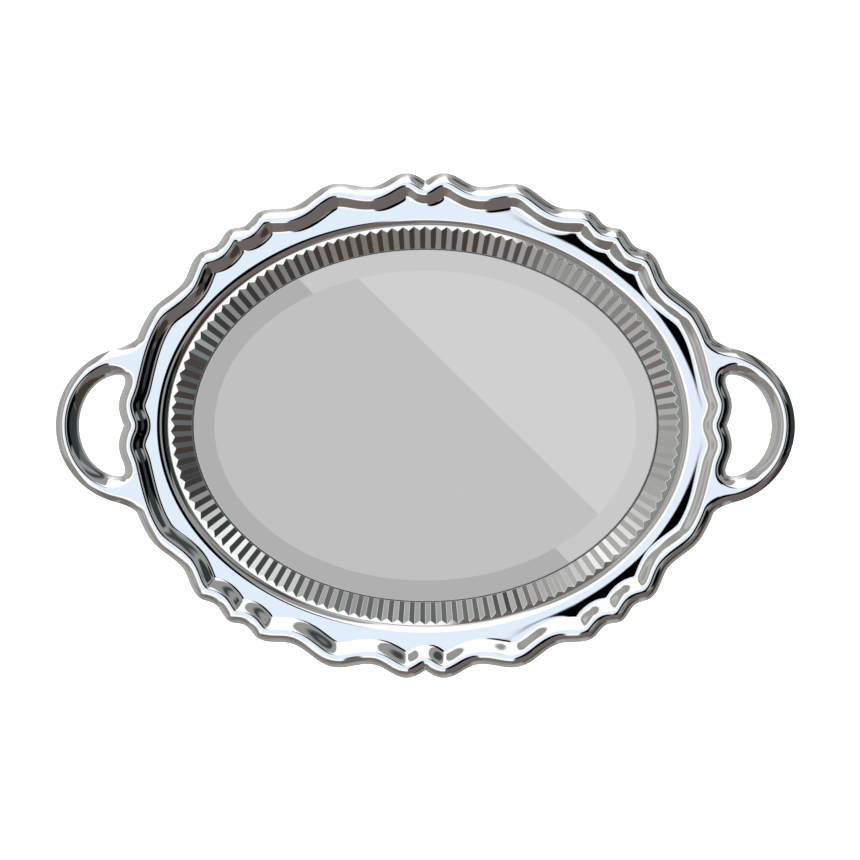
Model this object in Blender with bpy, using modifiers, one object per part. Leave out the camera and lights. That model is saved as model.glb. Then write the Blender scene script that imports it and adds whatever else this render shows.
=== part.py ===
"""Oval buffet serving tray with a scalloped border, two loop handles and a mirror floor.

The border is one pressed and polished frame: rounded rim, flat crest, S-shaped step, flat band,
shoulder, and a hidden well with a flange. A fluted ring and a bevelled mirror sit in the well. A board,
felt and four screwed feet close it from below. Each handle is screwed up under the border by two lugs.

Sizes are in millimetres and heights are above the table. +X runs along the tray, and +Z is up.
"""

import math

import bmesh
import bpy
import numpy as np

MM = 0.001
GAP = 0.3

# Border outline: height above a base ellipse, as ears and hollows at ellipse angles in one quadrant.
BASE_A, BASE_B = 184.0, 146.0
END_NOTCH = (0.0, 3.6)
LOBES = [(5.4, 7.5), (10.2, 5.8), (26.4, 8.5), (35.8, 3.5), (43.0, 9.7), (46.6, 6.8), (50.7, 10.4)]
LOBES += [(53.9, 7.4), (57.6, 10.7), (64.2, 5.1), (72.3, 11.3), (80.0, 5.0), (86.4, 11.4)]
SIDE_NOTCH = (90.0, 6.3)

# Border section: distances in from the outline, and heights.
ROUND_WIDTH, ROUND_DROP = 6.6, 4.5
STEP_START, STEP_END = 7.0, 17.0
CREST_Z, BAND_Z = 25.0, 21.4
EDGE_Z = 19.5
SHELL = 1.6
SHOULDER = (167.9, 130.3)
SHOULDER_MID = (163.4, 127.1)
VALLEY = (160.4, 125.0)
VALLEY_Z, SHOULDER_MID_Z = 18.9, 20.7
FLANGE_TOP, FLANGE_BOTTOM = 8.0, 6.8
APERTURE = (136.0, 101.6)
LONGEST_FACE = 9.5

# Fluted ring, seated on the flange.
FLUTES = 126
FLUTE_FOOT = (145.4, 110.1)
RIDGE_TOP, GROOVE_TOP = (156.0, 121.5), (158.4, 123.9)
RIDGE_TOP_Z, GROOVE_TOP_Z = 19.3, 18.65
RIDGE_FOOT_Z, GROOVE_FOOT_Z = 11.2, 9.3
HEM_Z = 18.2

# Mirror and what it lies on.
MIRROR_EDGE, MIRROR_BEVEL, MIRROR_FLAT = (144.2, 109.4), (143.4, 108.8), (131.2, 96.1)
MIRROR_Z = 9.6
MIRROR_EDGE_Z, MIRROR_BEVEL_Z, MIRROR_TOP = 11.9, 12.4, 13.6
TAPE_OUTER, TAPE_INNER = (143.0, 108.4), (137.5, 103.0)
PAD = (134.5, 100.1)

# Base, feet and screws.
BOARD, BOARD_BOTTOM, BOARD_TOP = (163.0, 127.0), 3.5, 6.5
FELT, FELT_BOTTOM, FELT_TOP = (125.0, 90.0), 2.4, 3.2
SCREW_ELLIPSE = (153.0, 117.5)
FOOT_ANGLES = (40.0, 140.0, 220.0, 320.0)
BASE_SCREW_ANGLES = (0.0, 66.0, 90.0, 114.0, 180.0, 246.0, 270.0, 294.0)
FOOT_R, FOOT_HEIGHT = 8.0, 3.2
RECESS_R, RECESS_Z = 3.8, 1.8
SHANK_R, HOLE_R, HEAD_R, HEAD_HEIGHT = 1.6, 1.9, 3.2, 1.2
RING_HOLE_TOP = 13.5

# Handle: a loop whose outer edge is a circle and whose finger hole is an ellipse.
LOOP_X, LOOP_R = 180.8, 49.2
FILLET_START, FILLET_BEND, FILLET_END = (194.6, 46.7), (181.8, 50.5), (180.2, 53.3)
HOLE_X, HOLE_A, HOLE_B = 189.5, 25.9, 31.5
HOLE_TURN, HOLE_BEND, HOLE_CORNER = (190.5, 31.45), (186.2, 31.5), (187.4, 27.6)
ROOT_ANGLES = (20.0, 10.3)
GRIP_DROP, GRIP_OUTER, GRIP_INNER = 8.5, 5.8, 8.8
GRIP_BOTTOM = 15.0
ROOT_BLEND = 14.0
LUG_SCREW, LUG_ROOT = (165.0, 36.0), (188.5, 41.0)
LUG_R, LUG_BOTTOM, LUG_TOP = 5.0, 12.9, 16.0
BOSS_R, BOSS_TOP, BOSS_HOLE_TOP = 3.3, 20.2, 19.9

PARTS = "oval_serving_tray"
CUTTERS = "cutters"


# ---------------------------------------------------------------- outlines


def ellipse_point(size, angle):
    return np.array([size[0] * math.cos(angle), size[1] * math.sin(angle)])


def ellipse_normal(size, angle):
    normal = np.array([math.cos(angle) / size[0], math.sin(angle) / size[1]])
    return normal / np.linalg.norm(normal)


def lobe_height(angle):
    """Height of the outline above the base ellipse: eased ears and hollows, and sharp notches."""
    degrees = abs(math.degrees(math.atan2(abs(math.sin(angle)), abs(math.cos(angle)))))
    stops = [END_NOTCH] + LOBES + [SIDE_NOTCH]
    last = len(stops) - 2
    index = next((i for i in range(last) if degrees < stops[i + 1][0]), last)
    (start, low), (end, high) = stops[index], stops[index + 1]
    along = (degrees - start) / (end - start)
    if index == 0:
        share = math.sin(along * math.pi / 2)
    elif index == last:
        share = 1 - math.cos(along * math.pi / 2)
    else:
        share = (1 - math.cos(along * math.pi)) / 2
    return low + (high - low) * share


def outline_point(angle, outward=0.0):
    base = (BASE_A, BASE_B)
    return ellipse_point(base, angle) + ellipse_normal(base, angle) * (lobe_height(angle) + outward)


def bezier(start, bend, end, steps):
    """Points of a quadratic curve, without its last one."""
    along = np.arange(steps)[:, None] / steps
    start, bend, end = np.array(start), np.array(bend), np.array(end)
    return (1 - along) ** 2 * start + 2 * along * (1 - along) * bend + along**2 * end


def arc(centre_x, size, first_angle, steps):
    """Points of an ellipse arc about (centre_x, 0), from first_angle down to the X axis."""
    angles = np.linspace(first_angle, 0.0, steps)
    return np.column_stack([centre_x + size[0] * np.cos(angles), size[1] * np.sin(angles)])


def handle_outer_edge():
    """The upper half of the right handle's outer edge, from the border to the far end."""
    first = math.atan2(FILLET_START[1], FILLET_START[0] - LOOP_X)
    fillet = bezier(FILLET_END, FILLET_BEND, FILLET_START, 12)
    return np.vstack([fillet, arc(LOOP_X, (LOOP_R, LOOP_R), first, 40)])


def handle_hole_edge():
    """The upper half of the finger hole's edge, from its corner at the border to the far end."""
    first = math.acos((HOLE_TURN[0] - HOLE_X) / HOLE_A)
    corner = bezier(HOLE_CORNER, HOLE_BEND, HOLE_TURN, 8)
    return np.vstack([corner, arc(HOLE_X, (HOLE_A, HOLE_B), first, 40)])


def mirrored(points):
    """The points followed by their mirror image below the X axis, as one line."""
    return np.vstack([points, (points * [1, -1])[-2::-1]])


def segments(line):
    return line[:-1], line[1:]


def distance(points, starts, ends):
    """The distance from each point to the nearest of the segments."""
    across = ends - starts
    offset = points[:, None, :] - starts[None]
    share = np.clip((offset * across).sum(2) / (across**2).sum(1), 0, 1)
    return np.linalg.norm(offset - share[..., None] * across, axis=2).min(1)


def outline_segments():
    angles = np.linspace(0, 2 * math.pi, 1441)
    return segments(np.array([outline_point(angle) for angle in angles]))


def silhouette_segments():
    """The edges that the rounded rim follows: the outline apart from the handle roots."""
    starts, ends = outline_segments()
    root_low, root_high = math.radians(ROOT_ANGLES[1]), math.radians(ROOT_ANGLES[0])
    angles = np.arange(len(starts)) * 2 * math.pi / len(starts)
    folded = np.arctan2(np.abs(np.sin(angles)), np.abs(np.cos(angles)))
    kept = (folded < root_low) | (folded > root_high)
    return starts[kept], ends[kept]


def ray_to_ellipse(origins, directions, size):
    """Where each ray crosses an ellipse that is centred on the tray."""
    scaled, way = origins / size, directions / size
    a, b, c = (way**2).sum(1), (scaled * way).sum(1), (scaled**2).sum(1) - 1
    return origins + directions * ((-b - np.sqrt(b * b - a * c)) / a)[:, None]


def inset_points(origins, directions, depth, edge):
    """Along each ray, the point whose distance from the outline is depth."""
    near, far = np.zeros(len(origins)), np.full(len(origins), depth * 2.5 + 1)
    for _ in range(30):
        middle = (near + far) / 2
        short = distance(origins + directions * middle[:, None], *edge) < depth
        near, far = np.where(short, middle, near), np.where(short, far, middle)
    return origins + directions * near[:, None]


def rounded_drop(depth, width, drop):
    """How far a quarter-ellipse edge lies below its crest, at a distance in from the edge."""
    return drop * (1 - np.sqrt(1 - np.clip(1 - depth / width, 0, 1) ** 2))


# ---------------------------------------------------------------- Blender helpers


def collection(name):
    made = bpy.data.collections.new(name)
    bpy.context.scene.collection.children.link(made)
    return made


def material(name, colour, roughness, metallic):
    made = bpy.data.materials.new(name)
    made.use_nodes = True
    shader = made.node_tree.nodes["Principled BSDF"]
    shader.inputs["Base Color"].default_value = (*colour, 1.0)
    shader.inputs["Roughness"].default_value = roughness
    shader.inputs["Metallic"].default_value = metallic
    made.diffuse_color = (*colour, 1.0)
    return made


def add_mesh(name, mesh, finish, group=PARTS):
    made = bpy.data.objects.new(name, mesh)
    bpy.data.collections[group].objects.link(made)
    if finish:
        mesh.materials.append(finish)
    if group == CUTTERS:
        made.hide_render = True
        made.display_type = "WIRE"
    return made


def grid_mesh(name, rows, ring):
    """A skin over rows of closed sections. A ring joins its two ends, and any other skin is capped."""
    shape = bmesh.new()
    made = [[shape.verts.new(point * MM) for point in row] for row in rows]
    count = len(made[0])
    pairs = zip(made, made[1:] + made[:1]) if ring else zip(made, made[1:])
    for low, high in pairs:
        for i in range(count):
            j = (i + 1) % count
            shape.faces.new([low[i], low[j], high[j], high[i]])
    if not ring:
        shape.faces.new(made[0][::-1])
        shape.faces.new(made[-1])
    bmesh.ops.recalc_face_normals(shape, faces=shape.faces)
    mesh = bpy.data.meshes.new(name)
    shape.to_mesh(mesh)
    shape.free()
    mesh.shade_smooth()
    mesh.set_sharp_from_angle(angle=math.radians(35))
    return mesh


def plate(name, size, bottom, top, finish, sides=72):
    """A flat oval plate."""
    bpy.ops.mesh.primitive_cylinder_add(vertices=sides, radius=MM, depth=MM)
    made = bpy.context.object
    made.name = made.data.name = name
    made.scale = (size[0], size[1], top - bottom)
    bpy.ops.object.transform_apply(location=False, rotation=False, scale=True)
    made.location.z = (bottom + top) / 2 * MM
    move_to(made, PARTS)
    made.data.materials.append(finish)
    return made


def move_to(item, group):
    for holder in list(item.users_collection):
        holder.objects.unlink(item)
    bpy.data.collections[group].objects.link(item)


def peg(place, radius, bottom, top, sides=12):
    """One upright cylinder, used to cut a hole or to add a boss."""
    bpy.ops.mesh.primitive_cylinder_add(
        vertices=sides,
        radius=radius * MM,
        depth=(top - bottom) * MM,
        location=(place[0] * MM, place[1] * MM, (bottom + top) / 2 * MM),
    )
    return bpy.context.object


def join_cutter(name, pieces):
    """Several separate cutters as one hidden object."""
    bpy.ops.object.select_all(action="DESELECT")
    for piece in pieces:
        piece.select_set(True)
    bpy.context.view_layer.objects.active = pieces[0]
    if len(pieces) > 1:
        bpy.ops.object.join()
    made = bpy.context.object
    bpy.ops.object.transform_apply(location=True, rotation=True, scale=True)
    made.name = made.data.name = name
    move_to(made, CUTTERS)
    made.hide_render = True
    made.display_type = "WIRE"
    return made


def boolean(item, operation, other):
    modifier = item.modifiers.new(operation.lower(), "BOOLEAN")
    modifier.operation = operation
    modifier.solver = "EXACT"
    modifier.object = other


def turned(name, profile, place, finish, steps=12):
    """A turned piece from its profile, which runs down the outer side."""
    points = [(radius * MM, 0, height * MM) for radius, height in profile]
    closed = profile[0][0] > 0
    edges = [(i, i + 1) for i in range(len(points) - 1)]
    if closed:
        edges.append((len(points) - 1, 0))
    mesh = bpy.data.meshes.new(name)
    mesh.from_pydata(points, edges, [])
    made = add_mesh(name, mesh, finish)
    made.location = (place[0] * MM, place[1] * MM, 0)
    screw = made.modifiers.new("turn", "SCREW")
    screw.steps = steps
    screw.render_steps = steps
    screw.use_merge_vertices = True
    screw.merge_threshold = 0.00001
    screw.use_smooth_shade = False
    return made


# ---------------------------------------------------------------- pieces


def section_angles():
    """Base-ellipse angles of the border's sections: the ears, hollows, notches and steps between them."""
    stops = [END_NOTCH[0]] + [lobe[0] for lobe in LOBES] + [SIDE_NOTCH[0]]
    quarter = []
    for start, end in zip(stops, stops[1:]):
        span = np.radians([start, end])
        length = np.linalg.norm(outline_point(span[1]) - outline_point(span[0]))
        steps = max(2, math.ceil(length / LONGEST_FACE))
        quarter += list(np.linspace(span[0], span[1], steps + 1)[:-1])
    quarter = np.array(quarter)
    half = np.concatenate([quarter, [math.pi / 2], math.pi - quarter[:0:-1]])
    return np.concatenate([half, half + math.pi])


def border_rows(angles):
    """The border's closed sections, each along the base ellipse's normal."""
    base = (BASE_A, BASE_B)
    origins = np.array([outline_point(angle) for angle in angles])
    inward = -np.array([ellipse_normal(base, angle) for angle in angles])
    edge, silhouette = outline_segments(), silhouette_segments()

    def border_top(depth):
        places = inset_points(origins, inward, depth, edge) if depth else origins
        along = np.clip((depth - STEP_START) / (STEP_END - STEP_START), 0, 1)
        step = (CREST_Z - BAND_Z) * along * along * (3 - 2 * along)
        rim = rounded_drop(distance(places, *silhouette), ROUND_WIDTH, ROUND_DROP)
        return places, CREST_Z - step - rim

    def oval(size, height):
        return column(ray_to_ellipse(origins, inward, size), height)

    def column(places, height):
        return np.column_stack([places, np.broadcast_to(height, len(places))])

    step_depths = np.linspace(STEP_START, STEP_END, 4)
    columns = [column(origins, EDGE_Z)]
    columns += [column(*border_top(depth)) for depth in (0.0, 0.7, 2.4, 4.6, *step_depths)]
    columns += [oval(SHOULDER, BAND_Z), oval(SHOULDER_MID, SHOULDER_MID_Z), oval(VALLEY, VALLEY_Z)]
    columns += [oval(VALLEY, FLANGE_TOP), oval(APERTURE, FLANGE_TOP), oval(APERTURE, FLANGE_BOTTOM)]
    wall = (VALLEY[0] + SHELL, VALLEY[1] + SHELL)
    columns += [oval(wall, FLANGE_BOTTOM), oval(wall, VALLEY_Z)]
    columns.append(oval((SHOULDER[0] + 0.6, SHOULDER[1] + 0.6), BAND_Z - SHELL))
    for depth in (STEP_END + 0.6, (STEP_START + STEP_END) / 2, STEP_START, SHELL + 0.7):
        places, heights = border_top(depth)
        columns.append(column(places, heights - SHELL))
    columns.append(column(inset_points(origins, inward, SHELL, edge), EDGE_Z))
    return np.stack(columns, axis=1)


def screw_places():
    """Places of the screws that come up through the base, as (foot screws, base screws)."""
    feet = [ellipse_point(SCREW_ELLIPSE, math.radians(angle)) for angle in FOOT_ANGLES]
    base = [ellipse_point(SCREW_ELLIPSE, math.radians(angle)) for angle in BASE_SCREW_ANGLES]
    return feet, base


def lug_places():
    return [np.array([x * LUG_SCREW[0], y * LUG_SCREW[1]]) for x in (1, -1) for y in (1, -1)]


def make_border(finish):
    rows = border_rows(section_angles())
    border = add_mesh("rim_frame", grid_mesh("rim_frame", rows, ring=True), finish)
    bosses = [peg(place, BOSS_R, LUG_TOP + GAP, BOSS_TOP) for place in lug_places()]
    boolean(border, "UNION", join_cutter("border_bosses", bosses))
    feet, base = screw_places()
    holes = [peg(place, HOLE_R, FLANGE_BOTTOM - 1, FLANGE_TOP + 1) for place in feet + base]
    holes += [peg(place, HOLE_R, LUG_TOP - 1, BOSS_HOLE_TOP) for place in lug_places()]
    boolean(border, "DIFFERENCE", join_cutter("border_holes", holes))


def even_ellipse_angles(size, count):
    """Angles of points that lie at equal distances along an ellipse, starting at +X."""
    fine = np.linspace(0, 2 * math.pi, 7201)
    line = np.column_stack([size[0] * np.cos(fine), size[1] * np.sin(fine)])
    travelled = np.concatenate([[0], np.cumsum(np.linalg.norm(np.diff(line, axis=0), axis=1))])
    return np.interp(np.arange(count) * travelled[-1] / count, travelled, fine)


def make_fluted_ring(finish):
    """A solid ring whose sloping inner face is cut into V flutes: ridges and grooves alternate."""
    hem = (VALLEY[0] - GAP, VALLEY[1] - GAP)
    bottom = FLANGE_TOP + GAP
    rows = []
    for index, angle in enumerate(even_ellipse_angles(FLUTE_FOOT, 2 * FLUTES)):
        ridge = index % 2 == 0
        foot = ellipse_point(FLUTE_FOOT, angle)
        outward = ellipse_normal(FLUTE_FOOT, angle)

        def place(size, height):
            point = ray_to_ellipse((foot + 40 * outward)[None], -outward[None], np.array(size))[0]
            return np.array([*point, height])

        top = place(RIDGE_TOP, RIDGE_TOP_Z) if ridge else place(GROOVE_TOP, GROOVE_TOP_Z)
        foot_z = RIDGE_FOOT_Z if ridge else GROOVE_FOOT_Z
        inner = [np.array([*foot, bottom]), np.array([*foot, foot_z])]
        rows.append(inner + [top, place(hem, HEM_Z), place(hem, bottom)])
    ring = add_mesh("fluted_ring", grid_mesh("fluted_ring", rows, ring=True), finish)
    feet, base = screw_places()
    holes = [peg(place, HOLE_R, bottom - 1, RING_HOLE_TOP) for place in feet + base]
    boolean(ring, "DIFFERENCE", join_cutter("ring_holes", holes))


def oval_rings(levels, sides):
    """Rows of points around the tray: one row for each side, down the listed (size, height) levels."""
    rows = []
    for index in range(sides):
        angle = 2 * math.pi * index / sides
        rows.append([np.array([*ellipse_point(size, angle), height]) for size, height in levels])
    return rows


def make_mirror(finish):
    levels = [(MIRROR_EDGE, MIRROR_Z), (MIRROR_EDGE, MIRROR_EDGE_Z)]
    levels += [(MIRROR_BEVEL, MIRROR_BEVEL_Z), (MIRROR_FLAT, MIRROR_TOP)]
    rows = [list(row) for row in zip(*oval_rings(levels, 72))]
    add_mesh("mirror_plate", grid_mesh("mirror_plate", rows, ring=False), finish)


def make_tape(finish):
    low, high = FLANGE_TOP + GAP, MIRROR_Z - GAP
    levels = [(TAPE_OUTER, low), (TAPE_OUTER, high), (TAPE_INNER, high), (TAPE_INNER, low)]
    rows = oval_rings(levels, 60)
    add_mesh("mirror_foam_tape", grid_mesh("mirror_foam_tape", rows, ring=True), finish)


def make_base(board_finish, felt_finish, pad_finish):
    plate("backing_pad", PAD, BOARD_TOP + GAP, MIRROR_Z - GAP, pad_finish)
    board = plate("base_board", BOARD, BOARD_BOTTOM, BOARD_TOP, board_finish)
    feet, base = screw_places()
    holes = [peg(place, HOLE_R, BOARD_BOTTOM - 1, BOARD_TOP + 1) for place in feet + base]
    boolean(board, "DIFFERENCE", join_cutter("board_holes", holes))
    plate("base_felt", FELT, FELT_BOTTOM, FELT_TOP, felt_finish)


def screw_profile(head_bottom, tip):
    """A pan-head screw, head down, as a profile from its tip to the middle of its head."""
    head_top = head_bottom + HEAD_HEIGHT
    shank = [(0, tip), (SHANK_R * 0.6, tip), (SHANK_R, tip - 1.0), (SHANK_R, head_top)]
    head = [(HEAD_R, head_top), (HEAD_R, head_bottom + 0.5)]
    return shank + head + [(HEAD_R * 0.75, head_bottom), (0, head_bottom)]


def make_feet(rubber, steel):
    profile = [(FOOT_R - 0.4, FOOT_HEIGHT), (FOOT_R, FOOT_HEIGHT - 0.4), (FOOT_R, 0.6)]
    profile += [(FOOT_R - 0.6, 0), (RECESS_R, 0), (RECESS_R, RECESS_Z)]
    profile += [(HOLE_R, RECESS_Z), (HOLE_R, FOOT_HEIGHT)]
    head_bottom = RECESS_Z - GAP - HEAD_HEIGHT
    for number, place in enumerate(screw_places()[0], 1):
        turned(f"foot_{number}", profile, place, rubber, steps=20)
        turned(f"foot_screw_{number}", screw_profile(head_bottom, RING_HOLE_TOP - 0.6), place, steel)


def make_base_screws(steel):
    profile = screw_profile(BOARD_BOTTOM - GAP - HEAD_HEIGHT, RING_HOLE_TOP - 0.6)
    for number, place in enumerate(screw_places()[1], 1):
        turned(f"base_screw_{number}", profile, place, steel)


def make_handle_screws(steel):
    profile = screw_profile(LUG_BOTTOM - GAP - HEAD_HEIGHT, BOSS_HOLE_TOP - 0.4)
    for number, place in enumerate(lug_places(), 1):
        turned(f"handle_screw_{number}", profile, place, steel)


def resample(line, shares):
    """Points at the given shares of a line's length."""
    travelled = np.concatenate([[0], np.cumsum(np.linalg.norm(np.diff(line, axis=0), axis=1))])
    travelled /= travelled[-1]
    return np.column_stack([np.interp(shares, travelled, line[:, axis]) for axis in (0, 1)])


def handle_top(places):
    """Height of the handle's upper skin: a flat saddle by the border, turning into a half-round grip."""
    outer, hole = handle_outer_edge(), handle_hole_edge()
    beyond = distance(places, *outline_segments())
    share = np.clip(beyond / ROOT_BLEND, 0, 1)
    share = share * share * (3 - 2 * share)
    drop = ROUND_DROP + (GRIP_DROP - ROUND_DROP) * share
    outer_width = ROUND_WIDTH + (GRIP_OUTER - ROUND_WIDTH) * share
    inner_width = ROUND_WIDTH + (GRIP_INNER - ROUND_WIDTH) * share
    from_outer = rounded_drop(distance(places, *segments(mirrored(outer))), outer_width, drop)
    from_hole = rounded_drop(distance(places, *segments(mirrored(hole))), inner_width, drop)
    return CREST_Z - np.maximum(from_outer, from_hole)


def handle_rows():
    """Closed sections from the upper root round the loop to the lower root, for the right handle."""
    stations = np.concatenate([np.linspace(0, 0.24, 5), np.linspace(0.33, 1.0, 9)])
    across = np.array([0.0, 0.04, 0.16, 0.4, 0.55, 0.75, 0.92, 1.0])
    outer, hole = resample(handle_outer_edge(), stations), resample(handle_hole_edge(), stations)
    root_angles = np.radians(np.linspace(*ROOT_ANGLES, len(across)))
    root = np.array([outline_point(angle, GAP) for angle in root_angles])
    outer[0], hole[0] = root[0], root[-1]
    straight = outer[0] + (hole[0] - outer[0]) * across[:, None]
    rows = []
    for station, start, end in zip(stations, outer, hole):
        fade = max(0.0, 1 - station / 0.24)
        places = start + (end - start) * across[:, None] + (root - straight) * fade
        top = np.column_stack([places, handle_top(places)])
        low = places[::-1]
        low[0] = low[0] * 0.9 + low[1] * 0.1
        low[-1] = low[-1] * 0.9 + low[-2] * 0.1
        rows.append(np.vstack([top, np.column_stack([low[[0, 3, 5, -1]], np.full(4, GRIP_BOTTOM)])]))
    lower = [row * [1, -1, 1] for row in rows[-2::-1]]
    return rows + lower


def capsule(name, start, end, radius, bottom, top):
    """An upright flat bar with round ends."""
    start, end = np.array(start), np.array(end)
    heading = math.atan2(*(end - start)[::-1])
    turn = np.linspace(0, math.pi, 10)
    far = [end + radius * np.array([math.sin(a + heading), -math.cos(a + heading)]) for a in turn]
    near = [start - radius * np.array([math.sin(a + heading), -math.cos(a + heading)]) for a in turn]
    rows = [[np.array([*point, height]) for point in far + near] for height in (bottom, top)]
    return add_mesh(name, grid_mesh(name, rows, ring=False), None, CUTTERS)


def make_handle(name, side, finish):
    rows = [row * [side, 1, 1] for row in handle_rows()]
    handle = add_mesh(name, grid_mesh(name, rows, ring=False), finish)
    for label, way in (("upper", 1), ("lower", -1)):
        start = (LUG_SCREW[0] * side, LUG_SCREW[1] * way)
        end = (LUG_ROOT[0] * side, LUG_ROOT[1] * way)
        lug = capsule(f"{name}_{label}_lug", start, end, LUG_R, LUG_BOTTOM, LUG_TOP)
        boolean(handle, "UNION", lug)
    places = [place for place in lug_places() if place[0] * side > 0]
    holes = [peg(place, HOLE_R, LUG_BOTTOM - 1, LUG_TOP + 1) for place in places]
    boolean(handle, "DIFFERENCE", join_cutter(f"{name}_holes", holes))


def clear_scene():
    for item in list(bpy.data.objects):
        bpy.data.objects.remove(item)


def main():
    clear_scene()
    collection(PARTS)
    collection(CUTTERS)
    chrome = material("polished_chrome", (0.82, 0.83, 0.84), 0.05, 1.0)
    steel = material("zinc_steel", (0.60, 0.61, 0.62), 0.35, 1.0)
    mirror = material("silvered_glass", (0.78, 0.78, 0.78), 0.02, 1.0)
    foam = material("black_foam", (0.03, 0.03, 0.03), 0.9, 0.0)
    card = material("grey_card", (0.45, 0.43, 0.40), 0.9, 0.0)
    board = material("black_board", (0.05, 0.045, 0.04), 0.6, 0.0)
    felt = material("black_felt", (0.02, 0.02, 0.022), 1.0, 0.0)
    rubber = material("black_rubber", (0.03, 0.03, 0.03), 0.7, 0.0)
    make_border(chrome)
    make_handle("handle_right", 1, chrome)
    make_handle("handle_left", -1, chrome)
    make_fluted_ring(chrome)
    make_mirror(mirror)
    make_tape(foam)
    make_base(board, felt, card)
    make_feet(rubber, steel)
    make_base_screws(steel)
    make_handle_screws(steel)


main()
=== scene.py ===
"""Oval serving tray: polished scalloped border, two loop handles, fluted ring and bevelled mirror.

Each operator makes one piece, or one group of like pieces, around the tray's fixed frame.
Lengths are in metres, +X runs along the tray, +Y across it and +Z is up.
"""

import math

import bmesh
import bpy
import numpy as np
from bpy.props import FloatProperty, FloatVectorProperty, IntProperty, PointerProperty
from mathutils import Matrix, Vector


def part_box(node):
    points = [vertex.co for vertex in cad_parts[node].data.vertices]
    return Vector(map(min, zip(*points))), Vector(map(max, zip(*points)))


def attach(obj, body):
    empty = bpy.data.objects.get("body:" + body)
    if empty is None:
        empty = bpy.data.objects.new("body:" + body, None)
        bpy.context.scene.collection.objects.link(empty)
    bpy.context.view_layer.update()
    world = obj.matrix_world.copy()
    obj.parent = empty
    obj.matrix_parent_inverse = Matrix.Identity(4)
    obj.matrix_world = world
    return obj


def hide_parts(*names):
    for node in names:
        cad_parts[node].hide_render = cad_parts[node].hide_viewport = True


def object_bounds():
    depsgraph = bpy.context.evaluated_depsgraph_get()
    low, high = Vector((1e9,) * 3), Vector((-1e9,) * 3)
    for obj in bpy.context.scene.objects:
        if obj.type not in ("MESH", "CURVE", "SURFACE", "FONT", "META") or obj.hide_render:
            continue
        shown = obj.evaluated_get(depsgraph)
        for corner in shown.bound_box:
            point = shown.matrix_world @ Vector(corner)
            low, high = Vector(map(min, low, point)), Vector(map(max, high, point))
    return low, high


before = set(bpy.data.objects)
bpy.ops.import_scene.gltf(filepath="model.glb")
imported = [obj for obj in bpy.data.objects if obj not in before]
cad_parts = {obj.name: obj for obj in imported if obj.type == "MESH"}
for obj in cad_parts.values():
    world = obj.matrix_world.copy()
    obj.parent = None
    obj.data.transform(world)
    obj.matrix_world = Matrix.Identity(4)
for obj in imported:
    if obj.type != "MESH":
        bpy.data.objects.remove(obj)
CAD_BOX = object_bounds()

bl_info = {
    "name": "Oval Serving Tray",
    "version": (1, 0, 0),
    "blender": (4, 5, 0),
    "location": "View3D > Sidebar > Tray",
    "description": "Builds an oval serving tray with a scalloped chrome border and a mirror floor",
    "category": "Object",
}

MM = 0.001

# The outline: ears and hollows as (ellipse angle in degrees, height above the base ellipse in mm).
# The first and the last are the sharp notches at the ends and at the sides.
LOBES = [(0.0, 3.6), (5.4, 7.5), (10.2, 5.8), (26.4, 8.5), (35.8, 3.5), (43.0, 9.7), (46.6, 6.8)]
LOBES += [(50.7, 10.4), (53.9, 7.4), (57.6, 10.7), (64.2, 5.1), (72.3, 11.3), (80.0, 5.0)]
LOBES += [(86.4, 11.4), (90.0, 6.3)]


def half_size(node):
    """Half the length and half the width of a CAD node that is centred on the tray."""
    low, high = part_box(node)
    return (high.x - low.x) / 2, (high.y - low.y) / 2


def node_range(node):
    """The lowest and the highest point of a CAD node."""
    low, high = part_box(node)
    return low.z, high.z


def node_centres(prefix, count):
    """Places of numbered CAD nodes, seen from above."""
    boxes = [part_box(f"{prefix}_{number}") for number in range(1, count + 1)]
    return [((low.x + high.x) / 2, (low.y + high.y) / 2) for low, high in boxes]


BORDER_LOW, BORDER_HIGH = node_range("rim_frame")
RING_LOW, RING_HIGH = node_range("fluted_ring")
MIRROR_LOW, MIRROR_HIGH = node_range("mirror_plate")
RING_SIZE = half_size("fluted_ring")
MIRROR_SIZE = half_size("mirror_plate")


def length(name, description, default):
    words = {"name": name, "description": description}
    return FloatProperty(**words, default=default, unit="LENGTH", precision=4)


def oval(name, description, default):
    words = {"name": name, "description": description}
    return FloatVectorProperty(**words, default=default, size=2, unit="LENGTH", precision=4)


def colour(name, description, default):
    return FloatVectorProperty(name=name, description=description, default=default, size=3, subtype="COLOR")


# ---------------------------------------------------------------- settings


class TrayBorderSettings(bpy.types.PropertyGroup):
    base: oval("Base Ellipse", "Half length and half width of the ellipse under the scallops", (0.184, 0.146))
    crest: length("Crest Height", "Height of the border's highest line", BORDER_HIGH)
    edge: length("Edge Height", "Height of the border's lower edge", BORDER_HIGH - 5.5 * MM)
    roll: length("Roll Width", "Width of the rounded outer edge", 6.6 * MM)
    step_start: length("Step Start", "Distance from the outline to the top of the step", 7.0 * MM)
    step_end: length("Step End", "Distance from the outline to the foot of the step", 17.0 * MM)
    step_height: length("Step Height", "How far the flat band lies below the crest", 3.6 * MM)
    shell: length("Sheet Thickness", "Thickness of the border's metal", 1.6 * MM)
    shoulder: oval("Shoulder", "Ellipse where the flat band starts to roll down", (0.1679, 0.1303))
    shoulder_drop: length("Shoulder Drop", "How far the shoulder rolls down to the ring", 2.5 * MM)
    aperture: oval("Well Opening", "Ellipse of the opening in the hidden flange", (0.136, 0.1016))


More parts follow.
